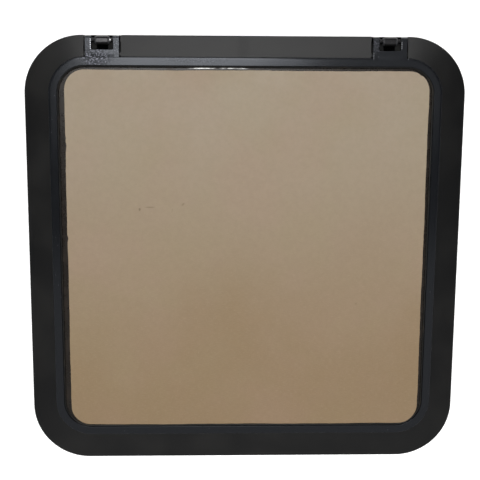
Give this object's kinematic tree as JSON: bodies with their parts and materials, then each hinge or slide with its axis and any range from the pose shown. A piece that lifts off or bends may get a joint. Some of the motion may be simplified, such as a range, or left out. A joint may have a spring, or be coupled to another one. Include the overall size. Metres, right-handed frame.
{
  "type": "boat escape hatch",
  "caption": "Square low-profile deck escape hatch: clamped base frame, acrylic lid on friction hinges, inside latch levers.",
  "frame": {"origin": "bottom centre of the bounding box: under the middle of the flange's outline, on the plane of the clamp ring's underside; the middle of the lid and of the clear opening is 4.2 mm from it towards the hinges", "axes": "+Z outboard, up through the deck; +Y towards the hinge side; +X to the right seen from outside with the hinges at the top"},
  "size_m": [0.5484, 0.5484, 0.0477],
  "materials": {
    "satin_black": "satin black powder coat on aluminium",
    "gloss_black": "gloss black paint on aluminium",
    "acrylic": "polished dark smoked acrylic",
    "kraft_paper": "matte beige masking paper",
    "rubber": "matte black rubber",
    "sealant": "tooled black sealant",
    "stainless": "machined stainless steel",
    "acetal": "matte black acetal"
  },
  "bodies": {
    "base": {"base_frame": "satin_black", "deck_gasket": "rubber", "clamp_ring": "satin_black", "clamp_screw_01": "stainless", "clamp_screw_02": "stainless", "clamp_screw_03": "stainless", "clamp_screw_04": "stainless", "clamp_screw_05": "stainless", "clamp_screw_06": "stainless", "clamp_screw_07": "stainless", "clamp_screw_08": "stainless", "clamp_screw_09": "stainless", "clamp_screw_10": "stainless", "clamp_screw_11": "stainless", "clamp_screw_12": "stainless", "keeper_left": "stainless", "keeper_right": "stainless", "keeper_screw_1": "stainless", "keeper_screw_2": "stainless", "keeper_screw_3": "stainless", "keeper_screw_4": "stainless", "hinge_bush_left_a": "acetal", "hinge_bush_left_b": "acetal", "hinge_bush_right_a": "acetal", "hinge_bush_right_b": "acetal", "hinge_set_screw_left": "stainless", "hinge_set_screw_right": "stainless"},
    "lid": {"lid_frame": "gloss_black", "lens": "acrylic", "glazing_bead": "sealant", "outer_masking_paper": "kraft_paper", "inner_masking_paper": "kraft_paper", "lid_seal": "rubber", "hinge_pin_left": "stainless", "hinge_pin_right": "stainless", "latch_bush_left": "acetal", "latch_bush_right": "acetal"},
    "latch_left": {"latch_spindle_left": "stainless", "latch_spacer_left": "acetal", "latch_tongue_left": "stainless", "latch_lever_left": "satin_black", "latch_washer_left": "stainless", "latch_nut_left": "stainless"},
    "latch_right": {"latch_spindle_right": "stainless", "latch_spacer_right": "acetal", "latch_tongue_right": "stainless", "latch_lever_right": "satin_black", "latch_washer_right": "stainless", "latch_nut_right": "stainless"}
  },
  "joints": [
    {"name": "lid_hinge", "type": "hinge", "parent": "base", "child": "lid", "pos_m": [0, 0.2682, 0.042], "axis": [-1, 0, 0], "range_deg": [0, 180]},
    {"name": "latch_left_turn", "type": "hinge", "parent": "lid", "child": "latch_left", "pos_m": [-0.13, -0.2008, 0.028], "axis": [0, 0, -1], "range_deg": [0, 90]},
    {"name": "latch_right_turn", "type": "hinge", "parent": "lid", "child": "latch_right", "pos_m": [0.13, -0.2008, 0.028], "axis": [0, 0, 1], "range_deg": [0, 90]}
  ]
}
